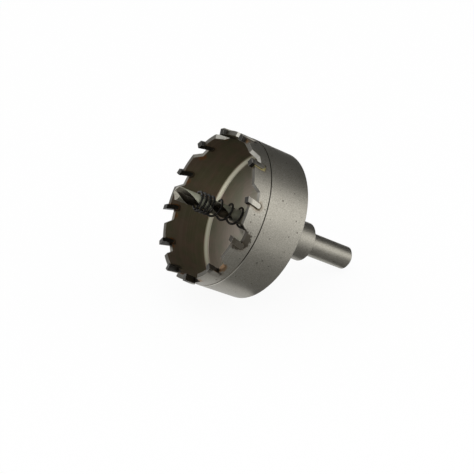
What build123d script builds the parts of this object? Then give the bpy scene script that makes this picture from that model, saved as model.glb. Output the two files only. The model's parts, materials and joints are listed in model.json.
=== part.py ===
from build123d import *
import os
from math import atan2, cos, degrees, pi, radians, sin, tan

# Carbide-tipped hole saw on a round shank, with its pilot drill and slug ejector spring.
#
# Lengths are in millimetres and angles in degrees. The pieces are modelled on the saw's own
# axis: the origin is the centre of the cup's back face and +Z runs towards the teeth. Angles
# about the axis count the way the saw turns when it cuts, and 0 is the side that it lies on.
# The last section lays the finished pieces down together, the way the saw comes to rest.

# ---- cup -------------------------------------------------------------------------------
cut_diameter = 80.0         # the circle that the tips sweep, which names the saw's size
side_clearance = 0.4        # how far the tips stand out from the wall, inside and outside
wall = 2.5
cup_depth = 33.5            # back face to the lands between the teeth
base_thickness = 6.9
corner_ring = 2.0           # turned ring between floor and wall, at 45 degrees
back_chamfer = 0.6
band_height = 10.2          # length of the relieved band behind the lands
band_relief = 0.15          # the band is this much smaller in radius than the rest
band_undercut = 0.2         # turned line where the band begins
band_undercut_length = 0.5

# ---- teeth -----------------------------------------------------------------------------
tooth_count = 12
first_tooth_angle = 26.0
tip_thickness = 2.6         # along the cut
tip_length = 8.0            # along the rake face
tip_stand = 2.1             # cutting edge above the lands
rake = 13.0                 # lean of the rake face, cutting edge foremost
top_relief = 6.0            # fall of the end face behind the cutting edge
side_relief = 3.0           # turn of the outer face behind the cutting edge
tip_corner = 0.8            # lower corners, seated in the milled pocket
braze_gap = 0.35            # filler all round the seated part of a tip
gullet_depth = 4.2
gullet_floor = 4.1          # open length ahead of the cutting edge
back_slope_run = 3.1        # slope from the gullet floor up to the next land
gullet_corner_radius = 1.0

# ---- arbor -----------------------------------------------------------------------------
spigot_diameter = 16.0      # turned down to press into the cup's base
boss_diameter = 21.3
boss_length = 30.0
boss_chamfer = 0.5
shank_diameter = 12.7
shank_length = 30.6
shank_chamfer = 1.3

# ---- pilot drill -----------------------------------------------------------------------
drill_diameter = 7.0
drill_reach = 53.5          # point ahead of the cup's back face
drill_seat_depth = 24.0     # how deep the drill goes into the boss
drill_fit = 0.03            # radial play of the drill in its bore
point_angle = 118.0
flute_length = 34.0         # measured back from the outer corners of the point
flute_lead = 40.0           # length of one full turn of a flute
web_thickness = 1.5         # core left between the flutes
flute_heel = 112.0          # angle from a lip to where its flute meets the outside again
lip_angle = 130.0           # where the flutes begin at the shank end

# ---- set screw -------------------------------------------------------------------------
screw_diameter = 8.0
screw_length = 6.5
screw_point = 0.9           # bevel of its inner end
screw_socket = 4.0          # across the flats of the hexagon socket
screw_socket_depth = 3.0
screw_fit = 0.05            # radial room that stands for the thread's own play
screw_height = 14.0         # behind the cup's back face
screw_angle = -90.0
drill_flat_depth = 0.5      # flat on the drill that the screw bears on

# ---- ejector spring --------------------------------------------------------------------
spring_diameter = 10.8      # outside
spring_wire = 1.2
spring_seat_turns = 1.0     # closed turn on the floor
spring_open_turns = 3.4
spring_nose_turns = 3.75    # close turns at the free end
spring_seat_pitch = 1.3
spring_open_pitch = 6.5
spring_nose_pitch = 2.45
spring_start_angle = 83.5
spring_sections = 12        # per turn
spring_sides = 8

# ---- values that follow ----------------------------------------------------------------
cut_radius = cut_diameter / 2
body_radius = cut_radius - side_clearance
band_radius = body_radius - band_relief
inner_radius = body_radius - wall
tip_width = wall + 2 * side_clearance
tip_top = cup_depth + tip_stand
gullet_bottom = cup_depth - gullet_depth
pitch_angle = 360 / tooth_count

spigot_radius = spigot_diameter / 2
boss_radius = boss_diameter / 2
shank_radius = shank_diameter / 2
shank_end = boss_length + shank_length
drill_radius = drill_diameter / 2
bore_radius = drill_radius + drill_fit
screw_radius = screw_diameter / 2 - screw_fit
point_height = drill_radius / tan(radians(point_angle / 2))
clear = 1.0                 # how far a cutting tool runs past the face it leaves

pieces = {}


def around(radius, angle, turn=0.0):
    """A plane on the side of the saw: x runs with the cut, y towards the teeth, z outwards."""
    origin = (radius * cos(radians(angle)), radius * sin(radians(angle)), 0)
    outwards = (cos(radians(angle + turn)), sin(radians(angle + turn)), 0)
    with_cut = (-outwards[1], outwards[0], 0)
    return Plane(origin=origin, x_dir=with_cut, z_dir=outwards)


tooth_angles = [first_tooth_angle + pitch_angle * i for i in range(tooth_count)]
tip_planes = [around(cut_radius, angle, side_relief) for angle in tooth_angles]

# The gullets are milled square to the wall at their own middle.
gullet_middle = (gullet_floor + back_slope_run) / 2
gullet_turn = degrees(gullet_middle / body_radius)
gullet_planes = [around(cut_radius, angle + gullet_turn) for angle in tooth_angles]

# ---- outlines of a tooth, seen from outside, from the cutting edge backwards -------------
end_face = tip_thickness / cos(radians(rake + top_relief))
rake_drop = (tip_length * sin(radians(rake)), tip_length * cos(radians(rake)))
behind = (tip_thickness * cos(radians(rake)), tip_thickness * sin(radians(rake)))

with BuildSketch() as tip_outline:
    with BuildLine():
        Polyline(
            (0, tip_top),
            (-rake_drop[0], tip_top - rake_drop[1]),
            (-rake_drop[0] - behind[0], tip_top - rake_drop[1] + behind[1]),
            (-end_face * cos(radians(top_relief)), tip_top - end_face * sin(radians(top_relief))),
            close=True,
        )
    make_face()
    chamfer(tip_outline.vertices().sort_by(Axis.Y)[:2], tip_corner)

with BuildSketch() as pocket_outline:
    add(tip_outline.sketch)
    offset(amount=braze_gap, kind=Kind.INTERSECTION)

# The gullet's near side runs up the middle of the tip, so the whole rake face stands free.
middle_of_tip = -gullet_middle - tip_thickness / 2
middle_at_floor = middle_of_tip - (tip_top - gullet_bottom) * tan(radians(rake))

with BuildSketch() as gullet_outline:
    with BuildLine():
        Polyline(
            (middle_of_tip, tip_top),
            (middle_at_floor, gullet_bottom),
            (gullet_floor - gullet_middle, gullet_bottom),
            (gullet_middle, cup_depth),
            (gullet_middle, tip_top),
            close=True,
        )
    make_face()
    inner_corner = gullet_outline.vertices().sort_by_distance(
        (gullet_floor - gullet_middle, gullet_bottom)
    )[0]
    fillet(inner_corner, gullet_corner_radius)

# ---- cup: turned from one blank, then the gullets and tip pockets are milled --------------
band_start = cup_depth - band_height

with BuildPart() as cup:
    with BuildSketch(Plane.XZ) as cup_section:
        with BuildLine():
            Polyline(
                (spigot_radius, 0),
                (body_radius - back_chamfer, 0),
                (body_radius, back_chamfer),
                (body_radius, band_start),
                (band_radius - band_undercut, band_start),
                (band_radius, band_start + band_undercut_length),
                (band_radius, cup_depth),
                (inner_radius, cup_depth),
                (inner_radius, base_thickness),
                (spigot_radius, base_thickness),
                close=True,
            )
        make_face()
        floor_corner = cup_section.vertices().sort_by_distance((inner_radius, base_thickness))[0]
        chamfer(floor_corner, corner_ring)
    revolve(axis=Axis.Z)
    with BuildSketch(*gullet_planes):
        add(gullet_outline.sketch)
    extrude(amount=-(tip_width + clear), mode=Mode.SUBTRACT)
    with BuildSketch(*tip_planes):
        add(pocket_outline.sketch)
    extrude(amount=-(tip_width + clear), mode=Mode.SUBTRACT)
pieces["saw_cup"] = cup.part

# ---- carbide tips -------------------------------------------------------------------------
for number, tip_plane in enumerate(tip_planes, start=1):
    with BuildPart() as carbide_tip:
        with BuildSketch(tip_plane):
            add(tip_outline.sketch)
        extrude(amount=-tip_width)
    pieces[f"carbide_tip_{number:02d}"] = carbide_tip.part

# ---- braze: the filler between each tip and its pocket, flush with the wall ----------------
with BuildPart() as braze:
    with BuildSketch(*tip_planes):
        add(pocket_outline.sketch)
    extrude(amount=-(tip_width + clear))
    with BuildSketch(Plane.XZ):
        with BuildLine():
            Polyline(
                (inner_radius, band_start + band_undercut_length),
                (band_radius, band_start + band_undercut_length),
                (band_radius, cup_depth),
                (inner_radius, cup_depth),
                close=True,
            )
        make_face()
    revolve(axis=Axis.Z, mode=Mode.INTERSECT)
    with BuildSketch(*gullet_planes):
        add(gullet_outline.sketch)
    extrude(amount=-(tip_width + clear), mode=Mode.SUBTRACT)
    with BuildSketch(*tip_planes):
        add(tip_outline.sketch)
    extrude(amount=-tip_width, mode=Mode.SUBTRACT)
pieces["tip_braze"] = braze.part

# ---- arbor: boss and shank in one, with the drill's bore and the screw's tapped hole --------
screw_plane = Plane(
    origin=(0, 0, -screw_height),
    x_dir=(0, 0, 1),
    z_dir=(cos(radians(screw_angle)), sin(radians(screw_angle)), 0),
)

with BuildPart() as arbor:
    with BuildSketch(Plane.XZ) as arbor_section:
        with BuildLine():
            Polyline(
                (0, -drill_seat_depth),
                (bore_radius, -drill_seat_depth),
                (bore_radius, base_thickness),
                (spigot_radius, base_thickness),
                (spigot_radius, 0),
                (boss_radius, 0),
                (boss_radius, -boss_length),
                (shank_radius, -boss_length),
                (shank_radius, -shank_end),
                (0, -shank_end),
                close=True,
            )
        make_face()
        boss_corner = arbor_section.vertices().sort_by_distance((boss_radius, -boss_length))[0]
        chamfer(boss_corner, boss_chamfer)
        shank_corner = arbor_section.vertices().sort_by_distance((shank_radius, -shank_end))[0]
        chamfer(shank_corner, shank_chamfer)
    revolve(axis=Axis.Z)
    with BuildSketch(screw_plane):
        Circle(screw_diameter / 2)
    extrude(amount=boss_radius + clear, mode=Mode.SUBTRACT)
pieces["arbor"] = arbor.part

# ---- pilot drill: plain shank with a flat, two twisted flutes, conical point ---------------
drill_shoulder = drill_reach - point_height
flute_start = drill_shoulder - flute_length
screw_seat = drill_radius - drill_flat_depth

half_web = web_thickness / 2
outside = drill_radius + clear
heel = (outside * cos(radians(flute_heel)), outside * sin(radians(flute_heel)))
flute_twist = 360 * (flute_length + point_height) / flute_lead

# One flute: a straight lip face past the core, and a straight run out to the heel.
with BuildSketch(Plane.XY.offset(flute_start)) as flute_outline:
    with BuildLine():
        Polyline(
            (outside, half_web),
            (-half_web / 2, half_web),
            heel,
            (0, 2 * outside),
            (outside, outside),
            close=True,
        )
    make_face()

twisted_flute = Solid.extrude_linear_with_rotation(
    flute_outline.sketch.faces()[0],
    center=(0, 0, flute_start),
    normal=(0, 0, flute_length + point_height),
    angle=flute_twist,
)

with BuildPart() as pilot_drill:
    with BuildSketch(Plane.XZ):
        with BuildLine():
            Polyline(
                (0, -drill_seat_depth),
                (drill_radius, -drill_seat_depth),
                (drill_radius, drill_shoulder),
                (0, drill_reach),
                close=True,
            )
        make_face()
    revolve(axis=Axis.Z)
    for side in (0, 180):
        add(twisted_flute, rotation=(0, 0, lip_angle + side), mode=Mode.SUBTRACT)
    with BuildSketch(screw_plane.offset(screw_seat)):
        Rectangle(screw_diameter, drill_diameter)
    extrude(amount=drill_radius, mode=Mode.SUBTRACT)
pieces["pilot_drill"] = pilot_drill.part

# ---- set screw: bears on the drill's flat, sunk just below the boss ------------------------
with BuildPart() as set_screw:
    with BuildSketch(screw_plane.offset(screw_seat)):
        Circle(screw_radius)
    extrude(amount=screw_length)
    inner_end = set_screw.edges().filter_by(GeomType.CIRCLE).sort_by_distance((0, 0, -screw_height))[0]
    chamfer(inner_end, screw_point)
    with BuildSketch(screw_plane.offset(screw_seat + screw_length)):
        RegularPolygon(screw_socket / 2, 6, major_radius=False)
    extrude(amount=-screw_socket_depth, mode=Mode.SUBTRACT)
pieces["set_screw"] = set_screw.part

# ---- ejector spring: left-hand coil, closed at the floor and at the nose -------------------
coil_radius = (spring_diameter - spring_wire) / 2
spring_turns = spring_seat_turns + spring_open_turns + spring_nose_turns


def coil_pitch(turn):
    """Rise for each turn, with half a turn of change on either side of each joint."""
    steps = (
        (spring_seat_turns, spring_open_pitch - spring_seat_pitch),
        (spring_seat_turns + spring_open_turns, spring_nose_pitch - spring_open_pitch),
    )
    pitch = spring_seat_pitch
    for joint, change in steps:
        share = min(max(turn - joint + 0.5, 0.0), 1.0)
        pitch += change * share * share * (3 - 2 * share)
    return pitch


flat_side = spring_wire / 2 * cos(pi / spring_sides)
height = base_thickness + flat_side
step = 1 / spring_sections

with BuildPart() as ejector_spring:
    for i in range(round(spring_turns * spring_sections) + 1):
        angle = radians(spring_start_angle) - 2 * pi * i * step
        section_plane = Plane(
            origin=(coil_radius * cos(angle), coil_radius * sin(angle), height),
            x_dir=(cos(angle), sin(angle), 0),
            z_dir=(sin(angle), -cos(angle), 0),
        )
        with BuildSketch(section_plane):
            RegularPolygon(spring_wire / 2, spring_sides, rotation=180 / spring_sides)
        height += coil_pitch((i + 0.5) * step) * step
    loft(ruled=True)
pieces["ejector_spring"] = ejector_spring.part

# ---- lay the saw down: it rests on the cup's back edge and the end of the shank -------------
resting_tilt = atan2(body_radius - shank_radius, back_chamfer + shank_end - shank_chamfer)
mouth_direction = (-cos(resting_tilt), 0, sin(resting_tilt))
lowest_side = (-sin(resting_tilt), 0, -cos(resting_tilt))
lying = Plane(origin=(0, 0, 0), x_dir=lowest_side, z_dir=mouth_direction).location

laid_down = {name: piece.moved(lying) for name, piece in pieces.items()}
bounds = Compound(list(laid_down.values())).bounding_box()
to_origin = Location((-bounds.center().X, -bounds.center().Y, -bounds.min.Z))

os.makedirs("parts", exist_ok=True)
for name, piece in laid_down.items():
    placed = piece.moved(to_origin)
    placed.label = name
    export_step(placed, f"parts/{name}.step")
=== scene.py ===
import json
from collections import namedtuple
from math import cos, pi, radians, sin, tan

import bmesh
import bpy
from mathutils import Matrix, Vector


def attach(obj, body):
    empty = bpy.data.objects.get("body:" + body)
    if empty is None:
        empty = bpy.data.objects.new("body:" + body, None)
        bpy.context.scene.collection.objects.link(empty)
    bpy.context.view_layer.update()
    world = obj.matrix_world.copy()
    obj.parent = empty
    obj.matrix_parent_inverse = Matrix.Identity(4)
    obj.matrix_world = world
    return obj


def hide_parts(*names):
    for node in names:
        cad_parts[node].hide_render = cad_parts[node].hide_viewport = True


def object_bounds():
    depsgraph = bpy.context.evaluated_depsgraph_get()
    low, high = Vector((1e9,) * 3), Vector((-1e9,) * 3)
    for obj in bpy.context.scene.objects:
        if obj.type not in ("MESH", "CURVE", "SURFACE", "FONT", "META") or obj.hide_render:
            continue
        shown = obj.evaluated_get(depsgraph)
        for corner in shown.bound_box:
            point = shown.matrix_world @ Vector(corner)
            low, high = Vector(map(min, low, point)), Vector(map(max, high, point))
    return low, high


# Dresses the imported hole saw: finishes for every piece, the round wire of the ejector spring,
# a plain floor, soft studio light and a camera.
#
# Lengths named _MM are in millimetres; everything that Blender is given is in metres.
# The saw's own axes have their origin in the middle of the cup's back face: +Z runs towards
# the teeth and +X towards the side that the saw lies on. Heights are along Z, and angles are in
# degrees from +X towards +Y.

MM = 0.001

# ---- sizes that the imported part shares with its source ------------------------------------
BASE_MM = 6.9               # thickness of the cup's base
INNER_RADIUS_MM = 37.1      # inside of the cup's wall
CORNER_RING_MM = 2.0        # turned ring between floor and wall
BAND_START_MM = 23.3        # where the relieved band behind the teeth begins
LAND_MM = 33.5              # height of the lands between the teeth
OUTER_RADIUS_MM = 39.6      # outside of the cup, behind the relieved band
CUT_RADIUS_MM = 40.0        # the tips' outer faces
TOOTH_COUNT = 12
FIRST_TOOTH_ANGLE = 26.0
RAKE = 13.0                 # degrees that the tips lean into the cut
TIP_TOP_MM = 35.6
TIP_THICKNESS_MM = 2.6
FLUX_LENGTH_MM = 8.3        # outline of flux round a tip, measured from the tip's top
FLUX_CORNER_MM = 0.8
DRILL_RADIUS_MM = 3.5
DRILL_REACH_MM = 53.5
POINT_ANGLE = 118.0

COIL_RADIUS_MM = 4.8        # to the middle of the spring's wire
WIRE_MM = 1.2
SEAT_TURNS, OPEN_TURNS, NOSE_TURNS = 1.0, 3.4, 3.75     # closed, open and close turns
SEAT_PITCH_MM, OPEN_PITCH_MM, NOSE_PITCH_MM = 1.3, 6.5, 2.45
COIL_START_ANGLE = 83.5

# ---- marks from the brazing: angle, height, and the distances where they fade ---------------
SOOT_MARKS = (
    (86.0, 31.2, 4.8, 6.2), (56.5, 34.2, 1.2, 2.2), (27.0, 33.0, 2.0, 4.5),
    (144.5, 31.5, 0.6, 2.2), (168.5, 34.6, 0.3, 1.6), (122.2, 15.7, 0.1, 0.7),
    (105.5, 26.3, 0.1, 0.6), (100.0, 30.1, 0.1, 0.6), (44.8, 25.8, 0.2, 0.8),
    (74.0, 16.0, 0.1, 0.8), (77.0, 14.0, 0.1, 0.6), (131.0, 9.0, 0.1, 0.5),
)
HEAT_MARKS = ((59.3, 30.4, 2.6, 3.8), (33.0, 31.5, 1.5, 3.5), (168.0, 33.5, 0.8, 2.4))
YELLOW_MARKS = ((142.0, 30.5, 2.6, 4.6),)       # clean filler
WALL_MARKS = (                                  # inside the wall
    (211.0, 29.5, 0.4, 2.0), (243.0, 29.5, 1.0, 3.2), (268.0, 29.0, 0.5, 2.4),
    (298.0, 29.0, 0.5, 2.6), (326.0, 29.0, 0.4, 2.0), (12.0, 30.5, 1.5, 5.0),
    (24.0, 32.0, 1.0, 3.0),
)

# ---- stretches of the saw over which painted shade or a painted highlight changes a tone ---
FLOOR_SHADE_X_MM = (-34.0, -8.0)        # painted shade: the cup's floor is darker towards its top
RING_HIGHLIGHT_X_MM = (-28.0, 0.0)         # and the ring round it brighter, as a painted highlight
HIGHLIT_GULLETS_X_MM = (-25.0, -15.0)           # the gullets with bright slopes, a painted highlight
HIGHLIT_GULLETS_Y_MM = (-34.0, -20.0)
GROOVE_HIGHLIGHT_X_MM = (8.0, 22.0)               # painted highlight: the groove and its edge turn light towards the bottom
# painted shade: the drill's lands are darker on their underside
DRILL_UNDERSIDE_SHADE_X_MM = (-1.0, 2.0)
DRILL_SHADE_HEIGHT_MM = (22.0, 40.0)    # painted shade: the drill's lands are darker further back


def rgb(red, green, blue):
    return (red, green, blue, 1.0)


# ---- colours; a pair is the two that a finish is mottled from -----------------------------
STEEL = rgb(0.345, 0.330, 0.285)
STEEL_DARK = rgb(0.215, 0.203, 0.172)
# bare worn steel and painted highlight, along edges and on the groove's shoulder
BARE_EDGE_HIGHLIGHT = rgb(0.62, 0.60, 0.54)
# soot, also used as the painted shade in the groove's step
SOOT_AND_SHADE = rgb(0.045, 0.038, 0.027)
HEAT = rgb(0.20, 0.108, 0.042)
BRASS = rgb(0.62, 0.54, 0.24)
TINT = rgb(0.13, 0.088, 0.05)

SCALE = (rgb(0.150, 0.142, 0.090), rgb(0.185, 0.142, 0.105))
SCALE_LINES = rgb(0.23, 0.205, 0.155)
SCALE_HEAT = rgb(0.27, 0.12, 0.045)
CUP_FLOOR = (rgb(0.37, 0.37, 0.300), rgb(0.45, 0.395, 0.345))
CUP_FLOOR_LINES = rgb(0.26, 0.24, 0.19)
# painted shade on the cup's floor
CUP_FLOOR_SHADE = rgb(0.22, 0.205, 0.165)
TURNED_RING = (rgb(0.33, 0.318, 0.245), rgb(0.25, 0.238, 0.18))
# painted highlight on the turned ring
TURNED_RING_HIGHLIGHT = rgb(0.45, 0.43, 0.34)
GULLET = (rgb(0.22, 0.21, 0.182), rgb(0.12, 0.113, 0.098))
# painted highlight on the gullets' slopes
GULLET_HIGHLIGHT = rgb(0.42, 0.41, 0.37)
LAND = (rgb(0.11, 0.104, 0.088), rgb(0.065, 0.061, 0.052))
# worn edge and painted highlight
LAND_EDGE_HIGHLIGHT = rgb(0.42, 0.40, 0.36)

SINTERED = (rgb(0.048, 0.046, 0.041), rgb(0.022, 0.021, 0.019))
GROUND = (rgb(0.38, 0.36, 0.31), rgb(0.25, 0.24, 0.21))
GROUND_TOP = rgb(0.17, 0.16, 0.14)
# worn edge and painted highlight
CARBIDE_EDGE_HIGHLIGHT = rgb(0.4, 0.39, 0.35)
FILLER = (rgb(0.060, 0.050, 0.034), rgb(0.10, 0.078, 0.045))
FILLER_BURNT = (rgb(0.24, 0.105, 0.03), rgb(0.11, 0.06, 0.03))

FLUTE = (rgb(0.11, 0.10, 0.078), rgb(0.055, 0.05, 0.04))
DRILL_LAND = (rgb(0.52, 0.53, 0.41), rgb(0.40, 0.41, 0.31))
# painted shade on the underside of the drill's lands
DRILL_UNDERSIDE_SHADE = rgb(0.10, 0.095, 0.07)
# painted shade on the drill's lands
DRILL_SHADE = rgb(0.10, 0.10, 0.08)
DRILL_POINT = (rgb(0.40, 0.38, 0.32), rgb(0.24, 0.225, 0.185))
# worn edge and painted highlight
DRILL_EDGE_HIGHLIGHT = rgb(0.45, 0.43, 0.38)
OILED_WIRE = (rgb(0.012, 0.0115, 0.0105), rgb(0.055, 0.051, 0.045))
BLACK_OXIDE = (rgb(0.03, 0.03, 0.032), rgb(0.06, 0.058, 0.055))
# worn edge and painted highlight
OXIDE_EDGE_HIGHLIGHT = rgb(0.25, 0.24, 0.22)

# ---- camera, as the saw was photographed --------------------------------------------------
CAMERA_TURN = 24.35         # degrees that it looks away from +Y, towards +X
CAMERA_TILT = 23.87         # degrees that it looks down
CAMERA_DISTANCE = 0.5345
PICTURE_MIDDLE = (-0.01145, -0.00638)   # right of and above the middle of the cup's back
FOCAL_PIXELS = 1030.35
PICTURE_PIXELS = 474

# ---- studio -------------------------------------------------------------------------------
FLOOR_HALF_WIDTH = 6.0
FLOOR_WHITENESS = 0.92      # how far the floor is lifted to white where it is looked at
BACK_CARD_HALF_WIDTH, BACK_CARD_HALF_HEIGHT = 0.42, 0.34
FRONT_CARD_HEIGHT = 0.0005
FRONT_CARD_OUTLINE = (
    (-0.12, -0.12), (0.0, -0.11), (0.025, -0.065), (0.06, -0.04), (0.12, -0.035), (0.12, -0.004),
    (0.01, -0.004), (-0.02, -0.026), (-0.045, -0.026), (-0.05, 0.08), (-0.12, 0.08),
)


# ==== the frame and the saw's own axes =====================================================
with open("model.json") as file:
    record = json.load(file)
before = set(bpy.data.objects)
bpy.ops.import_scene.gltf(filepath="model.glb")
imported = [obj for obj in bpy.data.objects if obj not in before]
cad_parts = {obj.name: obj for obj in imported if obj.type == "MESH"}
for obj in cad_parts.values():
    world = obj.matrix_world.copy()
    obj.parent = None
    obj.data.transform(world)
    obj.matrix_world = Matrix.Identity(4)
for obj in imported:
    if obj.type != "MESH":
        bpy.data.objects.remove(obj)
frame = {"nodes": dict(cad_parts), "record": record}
cad_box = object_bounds()
nodes = frame["nodes"]


def saw_axes():
    """The saw's axes in the row frame, from the shank's mount and the cup's back face."""
    mount = frame["record"]["mounts"][0]
    mouth = -Vector(mount["axis"]).normalized()
    on_axis = Vector(mount["pos_m"])
    back = min((v.co - on_axis).dot(mouth) for v in nodes["saw_cup"].data.vertices)
    lowest = Vector((-mouth.z, 0, mouth.x))
    turned = Matrix((lowest, mouth.cross(lowest), mouth)).transposed().to_4x4()
    return Matrix.Translation(on_axis + mouth * back) @ turned


SAW = saw_axes()


# ==== node helpers =========================================================================
Place = namedtuple("Place", "position x y height radius")


class Finish:
    """A procedural material under construction, with the saw's own coordinates at hand."""

    def __init__(self, name):
        self.material = bpy.data.materials.new(name)
        self.material.use_nodes = True
        self.tree = self.material.node_tree
        self.tree.nodes.clear()
        output = self.node("OutputMaterial")
        self.shader = self.node("BsdfPrincipled")
        self.link(self.shader.outputs["BSDF"], output.inputs["Surface"])

    def node(self, kind, **settings):
        made = self.tree.nodes.new("ShaderNode" + kind)
        for key, value in settings.items():
            setattr(made, key, value)
        return made

    def link(self, source, target):
        self.tree.links.new(source, target)

    def put(self, socket, value):
        """Sets a socket to a constant or links it to another node's output."""
        if isinstance(value, bpy.types.NodeSocket):
            self.link(value, socket)
        else:
            socket.default_value = value

    # -- numbers --
    def math(self, operation, a, b=0.0):
        made = self.node("Math", operation=operation)
        self.put(made.inputs[0], a)
        self.put(made.inputs[1], b)
        return made.outputs["Value"]

    def plus(self, a, b):
        return self.math("ADD", a, b)

    def minus(self, a, b):
        return self.math("SUBTRACT", a, b)

    def times(self, a, b):
        return self.math("MULTIPLY", a, b)

    def hypotenuse(self, a, b):
        return self.math("SQRT", self.plus(self.times(a, a), self.times(b, b)))

    def step(self, value, low, high):
        """0 below low, 1 above high."""
        made = self.node("MapRange", interpolation_type="SMOOTHSTEP")
        self.put(made.inputs["Value"], value)
        made.inputs["From Min"].default_value = low
        made.inputs["From Max"].default_value = high
        return made.outputs["Result"]

    def below(self, value, low, high):
        """1 below low, 0 above high."""
        return self.minus(1.0, self.step(value, low, high))

    def between(self, value, rise, fall):
        """0 up to the first pair of numbers, 1 from there to the second pair, and 0 after it."""
        return self.times(self.step(value, *rise), self.below(value, *fall))

    def blend(self, share, a, b):
        """Number a where share is 0 and number b where it is 1."""
        made = self.node("Mix", data_type="FLOAT")
        self.put(made.inputs["Factor"], share)
        self.put(made.inputs["A"], a)
        self.put(made.inputs["B"], b)
        return made.outputs["Result"]

    # -- places on the saw --
    def saw_position(self):
        """Position in millimetres along the saw's own axes."""
        coordinates = self.node("TexCoord")
        mapping = self.node("Mapping", vector_type="TEXTURE")
        mapping.inputs["Location"].default_value = SAW.to_translation()
        mapping.inputs["Rotation"].default_value = SAW.to_euler()
        mapping.inputs["Scale"].default_value = (MM, MM, MM)
        self.link(coordinates.outputs["Object"], mapping.inputs["Vector"])
        return mapping.outputs["Vector"]

    def place(self):
        """Position, its three numbers and the distance from the saw's axis, in millimetres."""
        position = self.saw_position()
        split = self.node("SeparateXYZ")
        self.link(position, split.inputs["Vector"])
        x, y, height = split.outputs["X"], split.outputs["Y"], split.outputs["Z"]
        return Place(position, x, y, height, self.hypotenuse(x, y))

    def beside_seat(self, place):
        """How far a point of the rim is outside the rounded outline of flux round its tip."""
        pitch = 2 * pi / TOOTH_COUNT
        rake = radians(RAKE)
        turn = self.math("ARCTAN2", place.y, place.x)
        tooth = self.minus(self.math("DIVIDE", turn, pitch), radians(FIRST_TOOTH_ANGLE) / pitch)
        from_tooth = self.minus(self.math("FRACT", self.plus(tooth, 0.5)), 0.5)
        along = self.times(from_tooth, pitch * OUTER_RADIUS_MM)
        depth = self.minus(TIP_TOP_MM, place.height)
        lean = self.times(depth, tan(rake))
        middle = self.plus(self.plus(along, lean), TIP_THICKNESS_MM / 2)
        sideways = self.times(self.math("ABSOLUTE", middle), cos(rake))
        sideways = self.minus(sideways, TIP_THICKNESS_MM / 2 - FLUX_CORNER_MM)
        down = self.minus(self.math("DIVIDE", depth, cos(rake)), self.times(middle, sin(rake)))
        down = self.minus(down, FLUX_LENGTH_MM - FLUX_CORNER_MM)
        away = self.hypotenuse(self.math("MAXIMUM", sideways, 0.0), self.math("MAXIMUM", down, 0.0))
        return self.minus(away, FLUX_CORNER_MM)

    def on_point(self, place):
        """1 on the cone of the drill's point."""
        fall = self.times(place.radius, 1 / tan(radians(POINT_ANGLE / 2)))
        cone = self.minus(DRILL_REACH_MM, fall)
        return self.step(self.minus(place.height, cone), -0.1, -0.05)

    # -- textures --
    def scaled(self, vector, scale):
        made = self.node("Mapping")
        self.link(vector, made.inputs["Vector"])
        made.inputs["Scale"].default_value = scale
        return made.outputs["Vector"]

    def noise(self, vector, scale, detail=3.0, roughness=0.55):
        """Noise whose features are about 1/scale millimetres across."""
        made = self.node("TexNoise")
        self.link(vector, made.inputs["Vector"])
        made.inputs["Scale"].default_value = scale
        made.inputs["Detail"].default_value = detail
        made.inputs["Roughness"].default_value = roughness
        return made.outputs["Fac"]

    def ragged(self, vector, scale):
        """Noise about zero, for uneven edges."""
        return self.minus(self.noise(vector, scale), 0.5)

    def turning_marks(self, place, coarse=0.05, fine=9.0):
        """Noise drawn out along the cut of a lathe tool, on walls and faces alike."""
        combined = self.node("CombineXYZ")
        self.put(combined.inputs["X"], self.times(place.x, coarse))
        self.put(combined.inputs["Y"], self.times(place.y, coarse))
        self.put(combined.inputs["Z"], self.times(self.plus(place.radius, place.height), fine))
        return self.noise(combined.outputs["Vector"], 1.0, detail=2.0)

    def worn_and_highlit_edges(self, radius_mm):
        """1 along outer edges, where the finish has rubbed bright and a painted highlight stands in
        for the light that rounded edges catch.
        """
        rounded = self.node("Bevel", samples=6)
        rounded.inputs["Radius"].default_value = radius_mm * MM
        geometry = self.node("NewGeometry")
        dot = self.node("VectorMath", operation="DOT_PRODUCT")
        self.link(rounded.outputs["Normal"], dot.inputs[0])
        self.link(geometry.outputs["Normal"], dot.inputs[1])
        return self.step(self.minus(1.0, dot.outputs["Value"]), 0.02, 0.12)

    def bump(self, height, distance_mm, strength, under=None):
        made = self.node("Bump")
        made.inputs["Strength"].default_value = strength
        made.inputs["Distance"].default_value = distance_mm * MM
        self.link(height, made.inputs["Height"])
        if under is not None:
            self.link(under, made.inputs["Normal"])
        return made.outputs["Normal"]

    # -- colours --
    def mix(self, share, a, b):
        """Colour a where share is 0 and colour b where it is 1."""
        made = self.node("Mix", data_type="RGBA")
        self.put(made.inputs["Factor"], share)
        self.put(made.inputs["A"], a)
        self.put(made.inputs["B"], b)
        return made.outputs["Result"]

    def mottled(self, texture, low, high, pair):
        """A pair's first colour where the texture is below low, its second one above high."""
        return self.mix(self.step(texture, low, high), *pair)

    def over(self, colour, above, share, most):
        """A colour with another one over it, which hides it by share times most."""
        return self.mix(self.blend(share, 0.0, most), colour, above)

    def marked(self, position, colour, marks, radius, mark_colour, most):
        """A colour with uneven marks over it, round points at one distance from the axis."""
        for angle, height, inner, outer in marks:
            turn = radians(angle)
            away = self.node("VectorMath", operation="DISTANCE")
            self.link(position, away.inputs[0])
            away.inputs[1].default_value = (radius * cos(turn), radius * sin(turn), height)
            uneven = self.times(self.ragged(position, 0.8), 0.8 * outer)
            near = self.below(self.plus(away.outputs["Value"], uneven), inner, outer)
            colour = self.over(colour, mark_colour, near, most)
        return colour

    def finish(self, colour, roughness, normal, metallic=1.0):
        self.put(self.shader.inputs["Base Color"], colour)
        self.put(self.shader.inputs["Roughness"], roughness)
        self.put(self.shader.inputs["Metallic"], metallic)
        self.link(normal, self.shader.inputs["Normal"])
        return self.material


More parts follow.
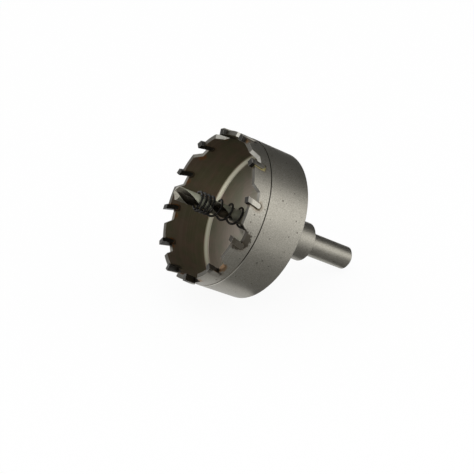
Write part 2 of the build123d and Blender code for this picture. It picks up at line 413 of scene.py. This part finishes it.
# ==== finishes =============================================================================
def blasted(f, place):
    """Colour, roughness and normal of fine blasted steel: grain, turning marks, dark specks."""
    grain = f.noise(place.position, 2.0, detail=5.0, roughness=0.8)
    clouds = f.noise(place.position, 0.06, detail=2.0)
    marks = f.turning_marks(place)
    colour = f.mottled(grain, 0.38, 0.62, (STEEL_DARK, STEEL))
    colour = f.over(colour, STEEL_DARK, f.step(clouds, 0.3, 0.7), 0.22)
    colour = f.over(colour, STEEL_DARK, f.step(marks, 0.5, 0.8), 0.3)
    specks = f.step(f.noise(place.position, 0.8, detail=0.0), 0.80, 0.82)
    colour = f.over(colour, SOOT_AND_SHADE, specks, 0.75)
    rough = f.blend(grain, 0.34, 0.46)
    normal = f.bump(marks, 0.012, 0.5, under=f.bump(grain, 0.04, 0.7))
    return colour, rough, normal


def arbor_finish():
    """The same blasted steel as the outside of the cup."""
    f = Finish("arbor_steel")
    return f.finish(*blasted(f, f.place()))


def cup_inside(f, place, on_ring):
    """Colour inside the cup: scale on the wall, a turned floor with painted shade towards its top,
    and a bare ring between them with a painted highlight towards the top.
    """
    clouds = f.noise(place.position, 0.10)
    lines = f.turning_marks(place, coarse=0.02, fine=3.0)
    scale = f.mottled(clouds, 0.38, 0.62, SCALE)
    scale = f.over(scale, SCALE_LINES, f.step(lines, 0.4, 0.7), 0.35)
    scale = f.marked(place.position, scale, WALL_MARKS, INNER_RADIUS_MM, SCALE_HEAT, 0.8)
    floor = f.mottled(clouds, 0.38, 0.62, CUP_FLOOR)
    floor = f.over(floor, CUP_FLOOR_LINES, f.step(lines, 0.4, 0.7), 0.3)
    # painted shade: the cup's floor is darker towards its top
    floor = f.mix(f.step(place.x, *FLOOR_SHADE_X_MM), CUP_FLOOR_SHADE, floor)
    ring = f.mottled(lines, 0.3, 0.7, TURNED_RING)
    # painted highlight: the ring is brighter towards the top
    ring = f.mix(f.step(place.x, *RING_HIGHLIGHT_X_MM), TURNED_RING_HIGHLIGHT, ring)
    on_floor = f.below(place.height, BASE_MM + 0.1, BASE_MM + 0.2)
    return f.mix(on_ring, f.mix(on_floor, scale, floor), ring)


def cup_milled(f, place):
    """Colour of the milled rim: gullets with a painted highlight on the slopes in one stretch,
    darker lands, and edges that are bare and painted bright as highlights.
    """
    grain = f.noise(place.position, 3.0, detail=4.0, roughness=0.7)
    gullet = f.mottled(grain, 0.4, 0.7, GULLET)
    # painted highlight on the slopes of the gullets in one stretch of the rim
    highlit_slopes = f.times(f.below(place.x, *HIGHLIT_GULLETS_X_MM), f.step(place.y, *HIGHLIT_GULLETS_Y_MM))
    gullet = f.mix(highlit_slopes, gullet, GULLET_HIGHLIGHT)
    # edges rubbed bright, partly a painted highlight
    gullet = f.mix(f.worn_and_highlit_edges(0.16), gullet, BARE_EDGE_HIGHLIGHT)
    land = f.mottled(grain, 0.4, 0.7, LAND)
    # edges rubbed bright, partly a painted highlight
    land = f.mix(f.worn_and_highlit_edges(0.14), land, LAND_EDGE_HIGHLIGHT)
    return f.mix(f.step(place.height, LAND_MM - 0.3, LAND_MM - 0.1), gullet, land)


def with_groove(f, place, colour, is_outside):
    """The groove where the relieved band begins, with painted shade in its step that turns to a
    painted highlight towards the bottom, and a painted highlight on the edge before it.
    """
    past = f.minus(place.height, BAND_START_MM)
    in_groove = f.times(f.between(past, (-0.05, 0.0), (0.4, 0.5)),
                        f.step(place.radius, OUTER_RADIUS_MM - 0.6, OUTER_RADIUS_MM - 0.5))
    highlit = f.step(place.x, *GROOVE_HIGHLIGHT_X_MM)
    # painted shade in the groove's step, lightened to steel as a painted highlight towards the
    # bottom
    colour = f.over(colour, f.mix(highlit, SOOT_AND_SHADE, STEEL), in_groove, 0.9)
    # painted highlight on the edge before the groove, towards the bottom
    shoulder = f.times(f.between(past, (-0.6, -0.5), (0.1, 0.2)), f.times(highlit, is_outside))
    return f.over(colour, BARE_EDGE_HIGHLIGHT, shoulder, 0.8)


def with_brazing_marks(f, place, colour):
    """Tint and flux round the seats of the tips, then heat and soot."""
    beside = f.beside_seat(place)
    ragged = f.ragged(place.position, 0.9)
    tint = f.below(f.plus(beside, f.times(ragged, 4.0)), 0.4, 2.2)
    colour = f.over(colour, TINT, tint, 0.4)
    flux = f.marked(place.position, SOOT_AND_SHADE, YELLOW_MARKS, OUTER_RADIUS_MM, BRASS, 1.0)
    outline = f.below(f.plus(beside, ragged), 0.4, 0.8)
    colour = f.over(colour, flux, outline, 0.85)
    colour = f.marked(place.position, colour, HEAT_MARKS, OUTER_RADIUS_MM, HEAT, 0.85)
    return f.marked(place.position, colour, SOOT_MARKS, OUTER_RADIUS_MM, SOOT_AND_SHADE, 0.9)


def cup_finish():
    """Blasted outside, brown scale inside, bare turned ring, milled edges, tints round the tips."""
    f = Finish("cup_steel")
    place = f.place()
    outside, rough, normal = blasted(f, place)
    corner = INNER_RADIUS_MM - BASE_MM - CORNER_RING_MM
    on_ring = f.times(f.step(f.minus(place.radius, place.height), corner - 0.15, corner - 0.05),
                      f.between(f.minus(place.height, BASE_MM), (0.1, 0.5), (1.4, 1.8)))
    is_rim = f.step(place.radius, INNER_RADIUS_MM + 0.03, INNER_RADIUS_MM + 0.06)
    is_side = f.step(place.radius, OUTER_RADIUS_MM - 0.3, OUTER_RADIUS_MM - 0.24)
    is_outside = f.math("MAXIMUM", is_side, f.below(place.height, 0.2, 0.4))
    colour = f.mix(is_rim, cup_inside(f, place, on_ring), cup_milled(f, place))
    colour = f.mix(is_outside, colour, outside)
    colour = with_groove(f, place, colour, is_outside)
    colour = with_brazing_marks(f, place, colour)
    rough = f.blend(is_rim, f.blend(on_ring, 0.5, 0.34), rough)
    return f.finish(colour, rough, normal)


def carbide():
    """Brazed carbide: faces ground flush with the cut are bright, the rest dark and sintered."""
    f = Finish("carbide")
    place = f.place()
    grain = f.noise(place.position, 4.0, detail=4.0, roughness=0.7)
    sintered = f.mottled(grain, 0.35, 0.7, SINTERED)
    ground = f.mottled(grain, 0.35, 0.7, GROUND)
    ground = f.mix(f.step(place.height, LAND_MM - 1.2, LAND_MM + 0.8), ground, GROUND_TOP)
    is_ground = f.step(place.radius, CUT_RADIUS_MM - 0.3, CUT_RADIUS_MM - 0.2)
    colour = f.mix(is_ground, sintered, ground)
    colour = f.marked(place.position, colour, HEAT_MARKS, OUTER_RADIUS_MM, HEAT, 0.6)
    colour = f.marked(place.position, colour, SOOT_MARKS, OUTER_RADIUS_MM, SOOT_AND_SHADE, 0.9)
    # edges rubbed bright, partly a painted highlight
    colour = f.mix(f.worn_and_highlit_edges(0.1), colour, CARBIDE_EDGE_HIGHLIGHT)
    return f.finish(colour, f.blend(grain, 0.3, 0.45), f.bump(grain, 0.012, 0.4))


def braze():
    """Filler: dark where fluxed over, yellow where clean, orange-brown where overheated."""
    f = Finish("braze")
    position = f.saw_position()
    lumps = f.noise(position, 2.0, detail=4.0)
    clouds = f.noise(position, 0.07, detail=1.0)
    colour = f.mottled(lumps, 0.45, 0.65, FILLER)
    burnt = f.mottled(lumps, 0.4, 0.6, FILLER_BURNT)
    colour = f.mix(f.step(clouds, 0.5, 0.6), colour, burnt)
    colour = f.marked(position, colour, YELLOW_MARKS, OUTER_RADIUS_MM, BRASS, 1.0)
    return f.finish(colour, f.blend(lumps, 0.3, 0.5), f.bump(lumps, 0.1, 0.9))


def drill_steel():
    """Ground high-speed steel: grey-green lands and dark flutes with grinding lines; painted shade
    darkens the lands on their underside and further back, and the edges are rubbed bright and
    painted as highlights.
    """
    f = Finish("drill_steel")
    place = f.place()
    grain = f.noise(place.position, 3.0, detail=4.0)
    marks = f.noise(f.scaled(place.position, (1.0, 1.0, 6.0)), 1.2)
    flute = f.mottled(marks, 0.35, 0.7, FLUTE)
    land = f.mottled(marks, 0.35, 0.7, DRILL_LAND)
    # painted shade: the lands are darker on their underside
    land = f.mix(f.step(place.x, *DRILL_UNDERSIDE_SHADE_X_MM), land, DRILL_UNDERSIDE_SHADE)
    # painted shade: the lands are darker further back
    land = f.over(land, DRILL_SHADE, f.below(place.height, *DRILL_SHADE_HEIGHT_MM), 0.6)
    on_land = f.step(place.radius, DRILL_RADIUS_MM - 0.12, DRILL_RADIUS_MM - 0.06)
    colour = f.mix(on_land, flute, land)
    colour = f.mix(f.on_point(place), colour, f.mottled(grain, 0.4, 0.6, DRILL_POINT))
    # edges rubbed bright, partly a painted highlight
    colour = f.mix(f.worn_and_highlit_edges(0.15), colour, DRILL_EDGE_HIGHLIGHT)
    metallic = f.blend(on_land, 1.0, 0.5)
    return f.finish(colour, f.blend(grain, 0.28, 0.42), f.bump(marks, 0.015, 0.5), metallic)


def spring_wire():
    """Oiled black spring steel, rubbed a little brighter in patches."""
    f = Finish("spring_wire")
    position = f.saw_position()
    grain = f.noise(position, 8.0, detail=2.0)
    colour = f.mottled(f.noise(position, 0.9), 0.5, 0.75, OILED_WIRE)
    return f.finish(colour, f.blend(grain, 0.28, 0.45), f.bump(grain, 0.01, 0.4))


def blacked_screw():
    """Black oxide with edges round the socket rubbed bright, with a painted highlight on them."""
    f = Finish("screw_steel")
    grain = f.noise(f.saw_position(), 5.0)
    colour = f.mottled(grain, 0.4, 0.7, BLACK_OXIDE)
    # edges rubbed bright, partly a painted highlight
    colour = f.mix(f.worn_and_highlit_edges(0.2), colour, OXIDE_EDGE_HIGHLIGHT)
    return f.finish(colour, f.blend(grain, 0.35, 0.55), f.bump(grain, 0.01, 0.4))


# ==== the spring's round wire ==============================================================
def ease(share):
    share = min(max(share, 0.0), 1.0)
    return share * share * (3 - 2 * share)


def coil_pitch_mm(turn):
    """Rise for each turn: closed at the floor, open in the middle, close at the nose."""
    opening = ease(turn - SEAT_TURNS + 0.5)
    closing = ease(turn - SEAT_TURNS - OPEN_TURNS + 0.5)
    pitch = SEAT_PITCH_MM + (OPEN_PITCH_MM - SEAT_PITCH_MM) * opening
    return pitch + (NOSE_PITCH_MM - OPEN_PITCH_MM) * closing


def coil_mesh(name, rings_per_turn=48, sides=14):
    """A left-hand coil of round wire on the drill's axis, with flat cut ends."""
    count = round((SEAT_TURNS + OPEN_TURNS + NOSE_TURNS) * rings_per_turn)
    work = bmesh.new()
    height = BASE_MM + WIRE_MM / 2
    rings = []
    for i in range(count + 1):
        angle = radians(COIL_START_ANGLE) - 2 * pi * i / rings_per_turn
        out = Vector((cos(angle), sin(angle), 0))
        centre = out * COIL_RADIUS_MM + Vector((0, 0, height))
        ring = []
        for k in range(sides):
            round_wire = 2 * pi * k / sides
            offset = out * cos(round_wire) + Vector((0, 0, sin(round_wire)))
            point = (centre + offset * WIRE_MM / 2) * MM
            ring.append(work.verts.new(SAW @ point))
        rings.append(ring)
        height += coil_pitch_mm((i + 0.5) / rings_per_turn) / rings_per_turn
    for here, after in zip(rings, rings[1:]):
        for k in range(sides):
            n = (k + 1) % sides
            work.faces.new((here[k], here[n], after[n], after[k]))
    work.faces.new(rings[0][::-1])
    work.faces.new(rings[-1])
    bmesh.ops.recalc_face_normals(work, faces=work.faces)
    for face in work.faces:
        face.smooth = len(face.verts) == 4
    mesh = bpy.data.meshes.new(name)
    work.to_mesh(mesh)
    work.free()
    return mesh


def add_to_scene(name, data):
    piece = bpy.data.objects.new(name, data)
    bpy.context.scene.collection.objects.link(piece)
    return piece


spring = add_to_scene("ejector_spring_coil", coil_mesh("ejector_spring_coil"))
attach(spring, "root")
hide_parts("ejector_spring")


# ==== finishes onto pieces =================================================================
FINISHES = {
    "saw_cup": cup_finish(),
    "arbor": arbor_finish(),
    "pilot_drill": drill_steel(),
    "set_screw": blacked_screw(),
    "tip_braze": braze(),
    "carbide_tip": carbide(),
    "ejector_spring": spring_wire(),
}


def wear(piece, finish):
    piece.data.materials.clear()
    piece.data.materials.append(finish)


for name, node in nodes.items():
    kind = "carbide_tip" if name.startswith("carbide_tip") else name
    wear(node, FINISHES[kind])
wear(spring, FINISHES["ejector_spring"])


# ==== floor, light and camera ==============================================================
def flat_mesh(name, corners):
    mesh = bpy.data.meshes.new(name)
    mesh.from_pydata(corners, [], [tuple(range(len(corners)))])
    return mesh


def rectangle(half_width, half_height):
    signs = ((-1, -1), (1, -1), (1, 1), (-1, 1))
    return [(x * half_width, y * half_height, 0.0) for x, y in signs]


def seen_share(tree):
    """1 for rays that see the background: from the camera, off gloss or through glass."""
    path = tree.nodes.new("ShaderNodeLightPath")
    share = path.outputs["Is Camera Ray"]
    for other in ("Is Glossy Ray", "Is Transmission Ray"):
        larger = tree.nodes.new("ShaderNodeMath")
        larger.operation = "MAXIMUM"
        tree.links.new(share, larger.inputs[0])
        tree.links.new(path.outputs[other], larger.inputs[1])
        share = larger.outputs["Value"]
    return share


def floor_material():
    """White paper: plain diffuse, lifted towards pure white where it is looked at."""
    material = bpy.data.materials.new("floor_paper")
    material.use_nodes = True
    tree = material.node_tree
    tree.nodes.clear()
    output = tree.nodes.new("ShaderNodeOutputMaterial")
    paper = tree.nodes.new("ShaderNodeBsdfDiffuse")
    paper.inputs["Color"].default_value = rgb(0.9, 0.9, 0.9)
    glow = tree.nodes.new("ShaderNodeEmission")
    glow.inputs["Strength"].default_value = 1.0
    both = tree.nodes.new("ShaderNodeMixShader")
    lifted = tree.nodes.new("ShaderNodeMath")
    lifted.operation = "MULTIPLY"
    tree.links.new(seen_share(tree), lifted.inputs[0])
    lifted.inputs[1].default_value = FLOOR_WHITENESS
    tree.links.new(lifted.outputs["Value"], both.inputs["Fac"])
    tree.links.new(paper.outputs["BSDF"], both.inputs[1])
    tree.links.new(glow.outputs["Emission"], both.inputs[2])
    tree.links.new(both.outputs["Shader"], output.inputs["Surface"])
    return material


def lay_floor():
    mesh = flat_mesh("floor", rectangle(FLOOR_HALF_WIDTH, FLOOR_HALF_WIDTH))
    mesh.materials.append(floor_material())
    floor = add_to_scene("floor", mesh)


def light_world():
    """A plain white studio all round."""
    world = bpy.data.worlds.new("studio")
    bpy.context.scene.world = world
    world.use_nodes = True
    background = world.node_tree.nodes["Background"]
    background.inputs["Color"].default_value = rgb(1.0, 1.0, 1.0)
    background.inputs["Strength"].default_value = 1.0


def direction(azimuth, elevation):
    """From the saw outwards, by the same angles as the camera: azimuth 0 is its front."""
    turn, rise = radians(azimuth), radians(elevation)
    return Vector((sin(turn) * cos(rise), -cos(turn) * cos(rise), sin(rise)))


def face_the_saw(thing, azimuth, elevation, distance):
    towards = direction(azimuth, elevation)
    thing.location = (cad_box[0] + cad_box[1]) / 2 + towards * distance
    thing.rotation_euler = towards.to_track_quat("Z", "Y").to_euler()


def softbox(name, azimuth, elevation, distance, size, power):
    lamp = bpy.data.lights.new(name, "AREA")
    lamp.shape = "SQUARE"
    lamp.size = size
    lamp.energy = power
    face_the_saw(add_to_scene(name, lamp), azimuth, elevation, distance)


def card(name, grey, corners):
    """Paper that only reflections see: it draws the dark edges of the bare metal."""
    mesh = flat_mesh(name, corners)
    material = bpy.data.materials.new(name)
    material.use_nodes = True
    paper = material.node_tree.nodes["Principled BSDF"]
    paper.inputs["Base Color"].default_value = rgb(grey, grey, grey)
    paper.inputs["Roughness"].default_value = 0.9
    mesh.materials.append(material)
    sheet = add_to_scene(name, mesh)
    sheet.visible_camera = False
    sheet.visible_diffuse = False
    sheet.visible_transmission = False
    sheet.visible_shadow = False
    return sheet


def hang_cards():
    """A black one stands behind the saw on the right, and a grey one lies in front of it."""
    back = card("back_card", 0.06, rectangle(BACK_CARD_HALF_WIDTH, BACK_CARD_HALF_HEIGHT))
    face_the_saw(back, azimuth=119, elevation=14, distance=0.5)
    card("front_card", 0.4, [(x, y, FRONT_CARD_HEIGHT) for x, y in FRONT_CARD_OUTLINE])


def place_camera():
    camera = add_to_scene("camera", bpy.data.cameras.new("camera"))
    bpy.context.scene.camera = camera
    turn, tilt = radians(CAMERA_TURN), radians(CAMERA_TILT)
    looking = Vector((sin(turn) * cos(tilt), cos(turn) * cos(tilt), -sin(tilt)))
    right = looking.cross(Vector((0, 0, 1))).normalized()
    up = right.cross(looking)
    aim = SAW.to_translation() + right * PICTURE_MIDDLE[0] + up * PICTURE_MIDDLE[1]
    camera.location = aim - looking * CAMERA_DISTANCE
    camera.rotation_euler = looking.to_track_quat("-Z", "Y").to_euler()
    camera.data.lens = FOCAL_PIXELS * camera.data.sensor_width / PICTURE_PIXELS
    camera.data.clip_start = 0.01


lay_floor()
light_world()
softbox("key_light", azimuth=42, elevation=8, distance=1.0, size=0.9, power=3.0)
softbox("front_light", azimuth=-50, elevation=5, distance=1.0, size=0.5, power=2.0)
hang_cards()
place_camera()
bpy.context.scene.view_settings.view_transform = "Standard"
